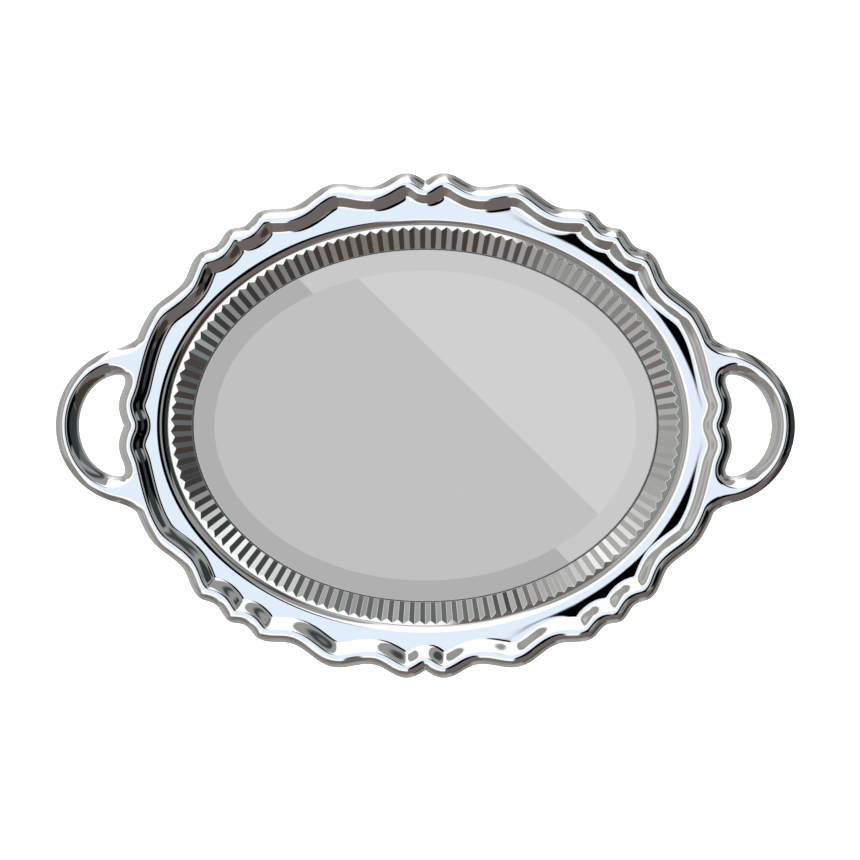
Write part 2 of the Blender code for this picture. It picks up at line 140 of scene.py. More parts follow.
class TrayHandleSettings(bpy.types.PropertyGroup):
    loop_centre: length("Loop Centre", "Distance from the tray's middle to the loop's centre", 180.8 * MM)
    loop_radius: length("Loop Radius", "Radius of the loop's outer edge", 49.2 * MM)
    hole_centre: length("Hole Centre", "Distance from the tray's middle to the hole's centre", 189.5 * MM)
    hole: oval("Finger Hole", "Half sizes of the finger hole's ellipse", (25.9 * MM, 31.5 * MM))
    outer_width: length("Outer Width", "Distance from the grip's crest to its outer edge", 5.5 * MM)
    inner_width: length("Inner Width", "Distance from the grip's crest to the finger hole", 9.1 * MM)
    underside: length("Underside", "Height of the grip's flat underside", 15.0 * MM)


class TrayRingSettings(bpy.types.PropertyGroup):
    flutes: IntProperty(name="Flutes", description="Number of flutes around the ring", default=126, min=8)
    foot: oval("Flute Foot", "Ellipse at the foot of the flutes", (0.1454, 0.1101))
    ridge_top: oval("Ridge Top", "Ellipse through the tops of the ridges", (0.156, 0.1215))
    groove_top: oval("Groove Top", "Ellipse through the tips of the grooves", (0.1584, 0.1239))
    groove_depth: length("Groove Depth", "Height of the ridges above the grooves at their foot", 1.9 * MM)
    edge: length("Eased Edge", "Width of the bright line along the ridges and grooves", 0.16 * MM)


class TrayMirrorSettings(bpy.types.PropertyGroup):
    bevel: length("Bevel Width", "Width of the polished bevel", 12.5 * MM)
    bevel_drop: length("Bevel Drop", "How far the bevel falls to the edge", 1.2 * MM)
    seam: length("Ground Edge", "Width of the ground edge", 0.35 * MM)


class TrayFinishSettings(bpy.types.PropertyGroup):
    chrome: colour("Chrome", "Colour of the polished plating", (0.955, 0.957, 0.960))
    mirror: colour("Silvering", "Colour of the mirror's silver", (0.80, 0.80, 0.80))
    steel: colour("Screw Steel", "Colour of the zinc-plated screws", (0.60, 0.61, 0.62))
    board: colour("Board", "Colour of the lacquered base board", (0.045, 0.042, 0.040))
    # This colour also paints the shade in the border's hidden well, under the ring.
    felt: colour("Felt", "Colour of the felt", (0.020, 0.021, 0.024))
    rubber: colour("Rubber", "Colour of the feet", (0.030, 0.030, 0.031))
    foam: colour("Foam", "Colour of the foam tape", (0.035, 0.035, 0.035))
    card: colour("Card", "Colour of the backing card", (0.42, 0.40, 0.37))
    floor: colour("Floor", "Colour of the studio floor", (0.88, 0.88, 0.88))


SETTINGS = {
    "tray_border": TrayBorderSettings,
    "tray_handle": TrayHandleSettings,
    "tray_ring": TrayRingSettings,
    "tray_mirror": TrayMirrorSettings,
    "tray_finish": TrayFinishSettings,
}


# ---------------------------------------------------------------- plan curves


def lobe_height(angles):
    """Height of the outline above the base ellipse: eased ears and hollows, and sharp notches."""
    degrees = np.degrees(np.arctan2(np.abs(np.sin(angles)), np.abs(np.cos(angles))))
    places, heights = np.array(LOBES).T
    last = len(places) - 2
    index = np.clip(np.searchsorted(places, degrees, side="right") - 1, 0, last)
    along = (degrees - places[index]) / (places[index + 1] - places[index])
    share = (1 - np.cos(along * math.pi)) / 2
    share = np.where(index == 0, np.sin(along * math.pi / 2), share)
    share = np.where(index == last, 1 - np.cos(along * math.pi / 2), share)
    return (heights[index] + (heights[index + 1] - heights[index]) * share) * MM


def ellipse_points(size, angles):
    return np.column_stack([size[0] * np.cos(angles), size[1] * np.sin(angles)])


def ellipse_normals(size, angles):
    normals = np.column_stack([np.cos(angles) / size[0], np.sin(angles) / size[1]])
    return normals / np.linalg.norm(normals, axis=1, keepdims=True)


def outline(base, angles):
    return ellipse_points(base, angles) + ellipse_normals(base, angles) * lobe_height(angles)[:, None]


def bezier(start, bend, end, steps):
    """Points of a quadratic curve, without its last one."""
    along = np.arange(steps)[:, None] / steps
    start, bend, end = np.array(start), np.array(bend), np.array(end)
    return (1 - along) ** 2 * start + 2 * along * (1 - along) * bend + along**2 * end


def arc(centre, size, first, steps):
    return ellipse_points(size, np.linspace(first, 0.0, steps)) + [centre, 0]


ROOT_HIGH, ROOT_LOW = math.radians(20.6), math.radians(9.8)
FILLET_JOIN = math.radians(73.5)


def handle_outer_edge(border, handle):
    """Upper half of the right handle's outer edge: a fillet out of the border, then the loop."""
    start = outline(border.base, np.array([ROOT_HIGH]))[0]
    radius = handle.loop_radius
    join = np.array([handle.loop_centre + radius * math.cos(FILLET_JOIN), radius * math.sin(FILLET_JOIN)])
    bend = (181.8 * MM, 50.5 * MM)
    loop = arc(handle.loop_centre, (radius, radius), FILLET_JOIN, 90)
    return np.vstack([bezier(start, bend, join, 24), loop])


def handle_hole_edge(border, handle):
    """Upper half of the finger hole's edge: a tight corner at the border, then the ellipse."""
    start = outline(border.base, np.array([ROOT_LOW]))[0]
    first = math.radians(87.8)
    turn = ellipse_points(handle.hole, np.array([first]))[0] + [handle.hole_centre, 0]
    bend = (start[0] - 1.0 * MM, handle.hole[1])
    return np.vstack([bezier(start, bend, turn, 24), arc(handle.hole_centre, handle.hole, first, 90)])


def with_reflection(line):
    """The line and its mirror image below the X axis, as one."""
    return np.vstack([line, (line * [1, -1])[-2::-1]])


class Edges:
    """A set of lines that distances are measured from, for places in the upper right quarter."""

    def __init__(self, *lines):
        self.starts = np.vstack([line[:-1] for line in lines])
        self.across = np.vstack([line[1:] for line in lines]) - self.starts
        self.squares = (self.across**2).sum(1)

    def distance(self, places):
        found = np.empty(len(places))
        for first in range(0, len(places), 4000):
            offset = places[first : first + 4000, None, :] - self.starts[None]
            share = np.clip((offset * self.across).sum(2) / self.squares, 0, 1)
            away = offset - share[..., None] * self.across
            found[first : first + 4000] = np.sqrt((away**2).sum(2).min(1))
        return found


def quarter_edges(border, handle):
    """The whole outline, the silhouette with the handle in it, and the handle's two edges."""
    spill = 0.2
    angles = np.linspace(-spill, math.pi / 2 + spill, 1200)
    line = outline(border.base, angles)
    outer = with_reflection(handle_outer_edge(border, handle))
    hole = with_reflection(handle_hole_edge(border, handle))
    silhouette = Edges(line[angles <= ROOT_LOW], line[angles >= ROOT_HIGH], outer, hole)
    return Edges(line), silhouette, Edges(outer), Edges(hole)


def ray_to_ellipse(origins, directions, size):
    """Where each inward ray first crosses an ellipse that is centred on the tray."""
    scaled, way = origins / size, directions / size
    a, b, c = (way**2).sum(1), (scaled * way).sum(1), (scaled**2).sum(1) - 1
    return origins + directions * ((-b - np.sqrt(b * b - a * c)) / a)[:, None]


def inset_points(origins, inward, depth, edges):
    """Along each ray, the place whose distance from the edges is depth."""
    reach = np.full(len(origins), float(depth))
    for _ in range(10):
        reach += depth - edges.distance(origins + inward * reach[:, None])
    return origins + inward * reach[:, None]


# ---------------------------------------------------------------- heights


def soft_slope(share, slope, softness):
    """Height gained over share of a width by a curve that starts level and bends up to the slope."""
    return slope * (np.sqrt(share**2 + softness**2) - softness)


def rolled_edge(share):
    """Drop of the border's rounded edge from its crest (share 0) to the outline (share 1)."""
    corner = share - 0.62
    steep = (np.sqrt(corner**2 + 0.03**2) + corner) / 2
    return 6.6 * MM * (soft_slope(share, 0.62, 0.45) + 0.85 * steep)


def grip_outer_side(share):
    return 5.5 * MM * (soft_slope(share, 0.72, 0.50) + 0.05 * share**8)


def grip_inner_side(share):
    return 9.1 * MM * (soft_slope(share, 0.72, 0.33) + 0.26 * share**5)


def eased(share):
    share = np.clip(share, 0, 1)
    return share * share * (3 - 2 * share)


def step_share(border, depth):
    """How far down the step a place is, from 0 on the crest to 1 on the band."""
    share = np.clip((depth - border.step_start) / (border.step_end - border.step_start), 0, 1)
    return (1 - np.cos(math.pi * share)) / 2


CROWN_START, CROWN_FULL, CROWN_SLOPE = 0.9 * MM, 3.2 * MM, math.tan(math.radians(4.0))


def band_crown(border, places):
    """How far the band falls away outside the shoulder, which turns the light just before the step."""
    size = np.array(border.shoulder)
    beyond = (np.linalg.norm(places / size, axis=1) - 1) * np.linalg.norm(places, axis=1)
    ramp = np.clip((beyond - CROWN_START) / (CROWN_FULL - CROWN_START), 0, 1)
    early = (CROWN_FULL - CROWN_START) * ramp**2 / 2
    flatter_ends = 0.15 + 0.85 * eased(np.abs(places[:, 1]) / 0.10)
    return CROWN_SLOPE * flatter_ends * (early + np.maximum(0, beyond - CROWN_FULL))


def border_height(border, places, depth, silhouette):
    """Height of the border's upper skin at places that lie depth in from the outline."""
    step = step_share(border, depth) * (border.step_height + band_crown(border, places))
    edge = np.clip(1 - silhouette.distance(places) / border.roll, 0, 1)
    return border.crest - step - rolled_edge(edge)


ROOT_BLEND = 14 * MM


def handle_height(border, handle, places, edges):
    """Height of a handle's upper skin: the border's rounded edge at the root, then the grip's bead."""
    whole, _, outer, hole = edges
    grip = eased(whole.distance(places) / ROOT_BLEND)
    outer_width = border.roll + (handle.outer_width - border.roll) * grip
    inner_width = border.roll + (handle.inner_width - border.roll) * grip
    outer_share = np.clip(1 - outer.distance(places) / outer_width, 0, 1)
    inner_share = np.clip(1 - hole.distance(places) / inner_width, 0, 1)
    outer_side = rolled_edge(outer_share) * (1 - grip) + grip_outer_side(outer_share) * grip
    inner_side = rolled_edge(inner_share) * (1 - grip) + grip_inner_side(inner_share) * grip
    return border.crest - np.maximum(outer_side, inner_side)


# ---------------------------------------------------------------- meshes


def new_object(name, mesh):
    made = bpy.data.objects.new(name, mesh)
    bpy.context.scene.collection.objects.link(made)
    return made


def grid_mesh(name, rows, ring, capped=False, sharp=35):
    """A skin over rows of closed sections. A ring joins its last row to its first."""
    rows = np.asarray(rows, dtype=float)
    total, count = rows.shape[:2]
    index = np.arange(total * count).reshape(total, count)
    low = index if ring else index[:-1]
    high = np.roll(index, -1, axis=0) if ring else index[1:]
    quads = np.stack([low, np.roll(low, -1, axis=1), np.roll(high, -1, axis=1), high], axis=-1)
    faces = quads.reshape(-1, 4).tolist()
    if capped:
        faces += [index[0, ::-1].tolist(), index[-1].tolist()]
    mesh = bpy.data.meshes.new(name)
    mesh.from_pydata(rows.reshape(-1, 3).tolist(), [], faces)
    tidy_mesh(mesh, sharp)
    return mesh


def tidy_mesh(mesh, sharp):
    """Merges doubles, points the faces outwards and marks the sharp edges."""
    shape = bmesh.new()
    shape.from_mesh(mesh)
    bmesh.ops.remove_doubles(shape, verts=shape.verts, dist=1e-7)
    bmesh.ops.dissolve_degenerate(shape, edges=shape.edges, dist=1e-7)
    bmesh.ops.recalc_face_normals(shape, faces=shape.faces)
    shape.to_mesh(mesh)
    shape.free()
    mesh.shade_smooth()
    mesh.set_sharp_from_angle(angle=math.radians(sharp))
    mesh.update()


def lifted(places, heights):
    return np.column_stack([places, np.broadcast_to(heights, len(places))])


def bake_modifiers(item):
    """Replaces an object's mesh with its evaluated one, and removes its modifiers."""
    graph = bpy.context.evaluated_depsgraph_get()
    graph.update()
    mesh = bpy.data.meshes.new_from_object(item.evaluated_get(graph), depsgraph=graph)
    mesh.name = item.name
    old = item.data
    item.modifiers.clear()
    item.data = mesh
    bpy.data.meshes.remove(old)


def finish_piece(item, finish, nodes, body="root"):
    """Gives a piece its material, its body and the CAD nodes it stands for."""
    if finish:
        item.data.materials.clear()
        item.data.materials.append(finish)
    item.visible_glossy = False
    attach(item, body)
    if nodes:
        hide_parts(*nodes)


def quarter_angles(longest):
    """Base-ellipse angles of one quarter's ears, hollows and notches, in steps up to longest."""
    angles = []
    base = bpy.context.scene.tray_border.base
    stops = np.radians([place for place, _ in LOBES])
    for start, end in zip(stops, stops[1:]):
        fine = outline(base, np.linspace(start, end, 20))
        steps = math.ceil(np.linalg.norm(np.diff(fine, axis=0), axis=1).sum() / longest)
        angles += list(np.linspace(start, end, steps + 1)[:-1])
    return np.array(angles + [math.pi / 2])


def all_quarters(rows):
    """A quarter's rows, from +X to +Y, repeated as mirror images all the way round."""
    left = rows[-2::-1] * [-1, 1, 1]
    upper = np.concatenate([rows, left])
    return np.concatenate([upper, upper[-2:0:-1] * [1, -1, 1]])


SECTION_STEP = 1.1 * MM
EDGE_DEPTHS = [0, 0.1, 0.25, 0.45, 0.7, 1.0, 1.4, 1.9, 2.5, 3.1, 3.7, 4.2, 4.7, 5.1, 5.5, 5.9, 6.25, 6.6]
EDGE_DEPTHS = np.array(EDGE_DEPTHS) * MM


def border_rows(border, handle):
    edges = quarter_edges(border, handle)
    whole, silhouette = edges[0], edges[1]
    angles = quarter_angles(SECTION_STEP)
    origins = outline(border.base, angles)
    inward = -ellipse_normals(border.base, angles)
    shell = border.shell

    def skin(depth):
        places = inset_points(origins, inward, depth, whole) if depth > 0 else origins
        return places, border_height(border, places, depth, silhouette)

    def oval_column(size, height):
        return lifted(ray_to_ellipse(origins, inward, np.array(size)), height)

    step = np.linspace(border.step_start, border.step_end, 24)
    top = [skin(depth) for depth in (*EDGE_DEPTHS, *step)]
    columns = [lifted(*column) for column in top]
    step_foot = top[-1][0]
    shoulder = ray_to_ellipse(origins, inward, np.array(border.shoulder))
    for share in (0.2, 0.4, 0.6, 0.8):
        places = step_foot + (shoulder - step_foot) * share
        columns.append(lifted(places, border_height(border, places, border.step_end, silhouette)))
    band = border.crest - border.step_height
    valley = np.array(RING_SIZE) + 0.3 * MM
    for share in np.linspace(0, 1, 21):
        size = np.array(border.shoulder) + (valley - border.shoulder) * share
        columns.append(oval_column(size, band - border.shoulder_drop * share**2.5))
    flange = RING_LOW - 0.3 * MM
    columns += [oval_column(valley, flange), oval_column(border.aperture, flange)]
    columns.append(oval_column(border.aperture, BORDER_LOW))
    wall = valley + shell
    columns += [oval_column(wall - 0.5 * MM, BORDER_LOW), oval_column(wall, BORDER_LOW + 0.5 * MM)]
    for turn in np.radians([0, 25, 50, 75, 90]):
        bend = 1.8 * MM
        centre = band - shell - bend
        columns.append(oval_column(wall + bend * (1 - math.cos(turn)), centre + bend * math.sin(turn)))
    for depth in (*step[::-3], 4.5 * MM, shell + 1.0 * MM):
        places, height = skin(depth + 0.6 * MM if depth > border.roll else depth)
        columns.append(lifted(places, height - shell))
    inner = inset_points(origins, inward, shell, whole)
    columns.append(lifted(inner, border.edge + 0.8 * MM))
    for turn in np.radians([0, 45, 90, 135, 180]):
        share = (1 - math.cos(turn)) / 2
        height = border.edge + shell / 2 * (1 - math.sin(turn))
        columns.append(lifted(inner + (origins - inner) * share, height))
    return np.stack(columns, axis=1)


def resample(line, shares):
    travelled = np.concatenate([[0], np.cumsum(np.linalg.norm(np.diff(line, axis=0), axis=1))])
    travelled /= travelled[-1]
    return np.column_stack([np.interp(shares, travelled, line[:, axis]) for axis in (0, 1)])


def handle_rows(border, handle):
    """Closed sections round the right handle, from its upper root to its lower one."""
    edges = quarter_edges(border, handle)
    stations = np.linspace(0, 1, 110)
    across = (1 - np.cos(np.linspace(0, math.pi, 48))) / 2
    outer = resample(handle_outer_edge(border, handle), stations)
    hole = resample(handle_hole_edge(border, handle), stations)
    root = outline(border.base, np.linspace(ROOT_HIGH, ROOT_LOW, len(across)))
    straight = outer[0] + (hole[0] - outer[0]) * across[:, None]
    rows = []
    for station, start, end in zip(stations, outer, hole):
        fade = max(0.0, 1 - station / 0.25) ** 2
        places = start + (end - start) * across[:, None] + (root - straight) * fade
        skin = lifted(places, handle_height(border, handle, places, edges))
        width = np.linalg.norm(end - start)
        corner = min(1.6 * MM / width, 0.3)
        under = []
        for turn in np.radians([0, 30, 60, 90]):
            share = 1 - corner * (1 - math.cos(turn))
            under.append((share, handle.underside + 1.6 * MM * (1 - math.sin(turn))))
        under += [(0.75, handle.underside), (0.5, handle.underside), (0.25, handle.underside)]
        under += [(1 - share, height) for share, height in under[3::-1]]
        rims = [np.array([*resample(places, [share])[0], height]) for share, height in under]
        rows.append(np.vstack([skin, rims]))
    rows = np.array(rows)
    return np.concatenate([rows, rows[-2::-1] * [1, -1, 1]])


def capsule_mesh(name, start, end, radius, bottom, top):
    """An upright flat bar with round ends and eased lower edges."""
    start, end = np.array(start), np.array(end)
    heading = math.atan2(*(end - start)[::-1])
    turn = np.linspace(0, math.pi, 24)
    side = np.column_stack([np.sin(turn + heading), -np.cos(turn + heading)])
    rows = []
    levels = [(0.8 * MM, bottom), (0.25 * MM, bottom + 0.25 * MM), (0, bottom + 0.8 * MM), (0, top)]
    for inset, height in levels:
        loop = np.vstack([end + (radius - inset) * side, start - (radius - inset) * side])
        rows.append(lifted(loop, height))
    return grid_mesh(name, rows, ring=False, capped=True)


def plate_mesh(name, size, levels, sides=360):
    """A closed oval plate. Each level is (inset from the size, height)."""
    angles = np.linspace(0, 2 * math.pi, sides, endpoint=False)
    rows = []
    for inset, height in levels:
        rim = (size[0] - inset, size[1] - inset)
        rows.append(lifted(ellipse_points(rim, angles), height))
    return grid_mesh(name, rows, ring=False, capped=True)


def oval_ring_mesh(name, levels, sides=240):
    """A closed oval ring. Each level of its section is (half length, half width, height)."""
    angles = np.linspace(0, 2 * math.pi, sides, endpoint=False)
    columns = [lifted(ellipse_points((a, b), angles), height) for a, b, height in levels]
    return grid_mesh(name, np.stack(columns, axis=1), ring=True)


def add_mesh(mesh, extra):
    """Moves the faces of extra into mesh, and removes extra."""
    joined = bmesh.new()
    joined.from_mesh(mesh)
    joined.from_mesh(extra)
    joined.to_mesh(mesh)
    joined.free()
    bpy.data.meshes.remove(extra)


def turned_mesh(name, profile, places, steps=64):
    """Copies of one turned ring. Its closed profile is (radius, height) points."""
    angles = np.linspace(0, 2 * math.pi, steps, endpoint=False)
    mesh = bpy.data.meshes.new(name)
    for x, y in places:
        rows = [[(x + r * math.cos(a), y + r * math.sin(a), z) for r, z in profile] for a in angles]
        add_mesh(mesh, grid_mesh(name, rows, ring=True))
    mesh.shade_smooth()
    mesh.set_sharp_from_angle(angle=math.radians(35))
    return mesh


# ---------------------------------------------------------------- node helpers


class Nodes:
    """Short calls for building a node tree. Values may be numbers, vectors or sockets."""

    def __init__(self, tree):
        self.tree = tree

    def put(self, socket, value):
        if isinstance(value, bpy.types.NodeSocket):
            self.tree.links.new(value, socket)
        elif value is not None:
            socket.default_value = value

    def add(self, kind, inputs=(), **settings):
        made = self.tree.nodes.new(kind)
        for name, value in settings.items():
            setattr(made, name, value)
        pairs = inputs.items() if isinstance(inputs, dict) else enumerate(inputs)
        for key, value in pairs:
            self.put(made.inputs[key], value)
        return made

    def math(self, operation, *values):
        return self.add("ShaderNodeMath", values, operation=operation).outputs[0]

    def vector(self, operation, *values):
        made = self.add("ShaderNodeVectorMath", values, operation=operation)
        scalar = operation in ("DOT_PRODUCT", "LENGTH", "DISTANCE")
        return made.outputs[1 if scalar else 0]

    def mix(self, share, first, second):
        made = self.add("ShaderNodeMix", data_type="RGBA")
        self.put(made.inputs[0], share)
        self.put(made.inputs[6], first)
        self.put(made.inputs[7], second)
        return made.outputs[2]

    def ramp(self, value, low, high, to_low=0.0, to_high=1.0, ease="SMOOTHSTEP"):
        made = self.add("ShaderNodeMapRange", (value, low, high, to_low, to_high), interpolation_type=ease)
        return made.outputs[0]


# ---------------------------------------------------------------- materials


def new_material(name):
    """A material and its nodes, with the Principled shader's inputs."""
    made = bpy.data.materials.new(name)
    made.use_nodes = True
    nodes = Nodes(made.node_tree)
    return made, nodes, made.node_tree.nodes["Principled BSDF"].inputs


def object_noise(nodes, scale, detail=2.0, roughness=0.5, stretch=(1, 1, 1)):
    place = nodes.add("ShaderNodeTexCoord").outputs["Object"]
    place = nodes.vector("MULTIPLY", place, stretch)
    inputs = {"Vector": place, "Scale": scale, "Detail": detail, "Roughness": roughness}
    return nodes.add("ShaderNodeTexNoise", inputs).outputs[0]


def bump(nodes, height, strength, distance):
    inputs = {"Strength": strength, "Distance": distance, "Height": height}
    return nodes.add("ShaderNodeBump", inputs).outputs[0]


def tinted(nodes, value, shade, low, high):
    """A colour that varies with value between two brightnesses of one shade."""
    dark, light = [(*(channel * factor for channel in shade), 1.0) for factor in (low, high)]
    return nodes.mix(value, dark, light)


def metal(name, shade, roughness, variation, waviness, grain=60):
    """Plated or bare metal: slow variation in polish, with a faint waviness in the surface."""
    made, nodes, inputs = new_material(name)
    inputs["Metallic"].default_value = 1.0
    cloud = object_noise(nodes, grain, 3.0)
    nodes.put(inputs["Base Color"], tinted(nodes, cloud, shade, 0.985, 1.0))
    nodes.put(inputs["Roughness"], nodes.ramp(cloud, 0.3, 0.7, roughness, roughness + variation))
    wave = object_noise(nodes, 90, 1.0)
    nodes.put(inputs["Normal"], bump(nodes, wave, waviness, 0.0001))
    return made


def matt(name, shade, roughness, grain, height, sheen=0.0, stretch=(1, 1, 1)):
    """A matt surface with a fine relief: rubber, foam, card, felt and lacquered board."""
    made, nodes, inputs = new_material(name)
    fine = object_noise(nodes, grain, 4.0, 0.6, stretch)
    coarse = object_noise(nodes, grain / 12, 2.0)
    value = nodes.math("MULTIPLY_ADD", coarse, 0.5, nodes.math("MULTIPLY", fine, 0.5))
    nodes.put(inputs["Base Color"], tinted(nodes, value, shade, 0.6, 1.4))
    inputs["Roughness"].default_value = roughness
    inputs["Sheen Weight"].default_value = sheen
    nodes.put(inputs["Normal"], bump(nodes, fine, 0.6, height))
    return made


def mirror_materials(shade):
    """The silvered face, the ground edge and the painted back of the glass."""
    silver, nodes, inputs = new_material("silvered_glass")
    cloud = object_noise(nodes, 12, 1.0)
    nodes.put(inputs["Base Color"], tinted(nodes, cloud, shade, 0.995, 1.005))
    inputs["Metallic"].default_value = 1.0
    inputs["Roughness"].default_value = 0.0
    edge, nodes, inputs = new_material("ground_glass_edge")
    grain = object_noise(nodes, 2600, 2.0)
    nodes.put(inputs["Base Color"], nodes.mix(grain, (0.30, 0.32, 0.31, 1), (0.55, 0.58, 0.57, 1)))
    inputs["Roughness"].default_value = 0.35
    inputs["Metallic"].default_value = 0.2
    nodes.put(inputs["Normal"], bump(nodes, grain, 0.3, 0.00005))
    back = matt("mirror_back_paint", (0.16, 0.17, 0.18), 0.6, 900, 0.00003)
    return silver, edge, back


FINISHES = {}


def finish(name):
    """The named finish, made once."""
    if not FINISHES:
        look = bpy.context.scene.tray_finish
        FINISHES["chrome"] = metal("polished_chrome", look.chrome, 0.0, 0.015, 0.012)
        FINISHES["fluted"] = metal("fluted_chrome", look.chrome, 0.01, 0.03, 0.02)
        FINISHES["steel"] = metal("zinc_steel", look.steel, 0.3, 0.15, 0.2, 900)
        # The board's lacquer also serves as painted shade in the border's hidden well, under the ring.
        FINISHES["board"] = matt("lacquered_board_and_well_shade", look.board, 0.45, 1400, 0.00004, stretch=(1, 3, 1))
        FINISHES["felt"] = matt("pressed_felt", look.felt, 1.0, 2600, 0.0004, sheen=0.4)
        FINISHES["rubber"] = matt("moulded_rubber", look.rubber, 0.65, 3000, 0.00005)
        FINISHES["foam"] = matt("foam_tape", look.foam, 0.9, 2200, 0.0002)
        FINISHES["card"] = matt("backing_card", look.card, 0.9, 1800, 0.00005, stretch=(1, 4, 1))
    return FINISHES[name]


# ---------------------------------------------------------------- geometry nodes


def node_group(name, sockets):
    """A geometry tree with a geometry input and output and the named inputs."""
    tree = bpy.data.node_groups.new(name, "GeometryNodeTree")
    tree.is_modifier = True
    tree.interface.new_socket("Geometry", in_out="INPUT", socket_type="NodeSocketGeometry")
    for label, kind in sockets:
        tree.interface.new_socket(label, in_out="INPUT", socket_type=kind)
    tree.interface.new_socket("Geometry", in_out="OUTPUT", socket_type="NodeSocketGeometry")
    nodes = Nodes(tree)
    source = nodes.add("NodeGroupInput").outputs
    return tree, nodes, source


def end_tree(nodes, geometry, material, smooth):
    """Ends a tree in shading, Realize Instances and Set Material."""
    inputs = {"Geometry": geometry, "Shade Smooth": smooth}
    shaded = nodes.add("GeometryNodeSetShadeSmooth", inputs).outputs[0]
    real = nodes.add("GeometryNodeRealizeInstances", (shaded,)).outputs[0]
    ended = nodes.add("GeometryNodeSetMaterial", {"Geometry": real, "Material": material}).outputs[0]
    nodes.add("NodeGroupOutput", (ended,))


def run_tree(item, tree, values):
    """Sets a tree's inputs by their identifiers on a new modifier, and makes the result a plain mesh."""
    modifier = item.modifiers.new(tree.name, "NODES")
    modifier.node_group = tree
    names = {socket.name: socket for socket in tree.interface.items_tree if socket.in_out == "INPUT"}
    for label, value in values.items():
        modifier[names[label].identifier] = value
    bake_modifiers(item)


def fluted_ring_tree():
    """A ring of V flutes: the sections around the foot ellipse are ridges and grooves by turns."""
    float_kind, vector_kind = "NodeSocketFloat", "NodeSocketVector"
    heights = ["Bottom", "Ridge Foot", "Groove Foot", "Ridge Top", "Groove Top", "Hem Top"]
    ovals = ["Foot Oval", "Ridge Oval", "Groove Oval", "Hem Oval"]
    sockets = [("Flutes", "NodeSocketInt"), ("Material", "NodeSocketMaterial")]
    sockets += [(label, float_kind) for label in heights] + [(label, vector_kind) for label in ovals]
    tree, nodes, source = node_group("fluted_ring", sockets)
    count = nodes.math("MULTIPLY", source["Flutes"], 2)
    circle = nodes.add("GeometryNodeCurvePrimitiveCircle", {"Resolution": 1440, "Radius": 1.0}).outputs[0]
    foot = nodes.add("GeometryNodeTransform", {"Geometry": circle, "Scale": source["Foot Oval"]}).outputs[0]
    line = nodes.add("GeometryNodeResampleCurve", {"Curve": foot, "Count": count}).outputs[0]

    levels = 5
    columns = nodes.math("ADD", count, 1)
    grid = nodes.add("GeometryNodeMeshGrid", {"Vertices X": columns, "Vertices Y": levels + 1}).outputs[0]
    index = nodes.add("GeometryNodeInputIndex").outputs[0]
    column = nodes.math("FLOOR", nodes.math("DIVIDE", nodes.math("ADD", index, 0.5), levels + 1))
    level = nodes.math("SUBTRACT", index, nodes.math("MULTIPLY", column, levels + 1))
    level = nodes.math("MODULO", level, levels)
    column = nodes.math("MODULO", column, count)
    groove = nodes.math("MODULO", column, 2)

    def sampled(field):
        made = nodes.add("GeometryNodeSampleIndex", data_type="FLOAT_VECTOR", domain="POINT")
        nodes.put(made.inputs["Geometry"], line)
        nodes.put(made.inputs["Value"], field)
        nodes.put(made.inputs["Index"], column)
        return made.outputs[0]

    def by_level(kind, values):
        made = nodes.add("GeometryNodeIndexSwitch", data_type=kind)
        for _ in range(len(values) - 2):
            made.index_switch_items.new()
        nodes.put(made.inputs[0], level)
        for number, value in enumerate(values, 1):
            nodes.put(made.inputs[number], value)
        return made.outputs[0]

    def ridge_or_groove(ridge, valley):
        made = nodes.add("ShaderNodeMix", data_type="VECTOR")
        nodes.put(made.inputs[0], groove)
        nodes.put(made.inputs[4], ridge)
        nodes.put(made.inputs[5], valley)
        return made.outputs[1]

    def height(ridge, valley):
        return nodes.ramp(groove, 0.0, 1.0, ridge, valley, "LINEAR")

    place = sampled(nodes.add("GeometryNodeInputPosition").outputs[0])
    tangent = sampled(nodes.add("GeometryNodeInputTangent").outputs[0])
    outward = nodes.vector("NORMALIZE", nodes.vector("CROSS_PRODUCT", tangent, (0, 0, 1)))
    top_oval = ridge_or_groove(source["Ridge Oval"], source["Groove Oval"])
    ovals = [source["Foot Oval"], source["Foot Oval"], top_oval, source["Hem Oval"], source["Hem Oval"]]
    size = by_level("VECTOR", ovals)
    foot_height = height(source["Ridge Foot"], source["Groove Foot"])
    top_height = height(source["Ridge Top"], source["Groove Top"])
    rise = by_level("FLOAT", [source["Bottom"], foot_height, top_height, source["Hem Top"], source["Bottom"]])
    scaled = nodes.vector("DIVIDE", place, size)
    way = nodes.vector("DIVIDE", outward, size)
    a = nodes.vector("DOT_PRODUCT", way, way)
    b = nodes.vector("DOT_PRODUCT", scaled, way)
    c = nodes.math("SUBTRACT", nodes.vector("DOT_PRODUCT", scaled, scaled), 1.0)
    square, product = nodes.math("MULTIPLY", b, b), nodes.math("MULTIPLY", a, c)
    root = nodes.math("SQRT", nodes.math("SUBTRACT", square, product))
    reach = nodes.math("DIVIDE", nodes.math("SUBTRACT", root, b), a)
    shift = nodes.add("ShaderNodeVectorMath", {0: outward, 3: reach}, operation="SCALE").outputs[0]
    spot = nodes.vector("ADD", place, shift)
    flat = nodes.add("ShaderNodeSeparateXYZ", (spot,)).outputs
    spot = nodes.add("ShaderNodeCombineXYZ", (flat[0], flat[1], rise)).outputs[0]
    moved = nodes.add("GeometryNodeSetPosition", {"Geometry": grid, "Position": spot}).outputs[0]
    merged = nodes.add("GeometryNodeMergeByDistance", {"Geometry": moved, "Distance": 1e-6}).outputs[0]
    end_tree(nodes, merged, source["Material"], False)
    return tree


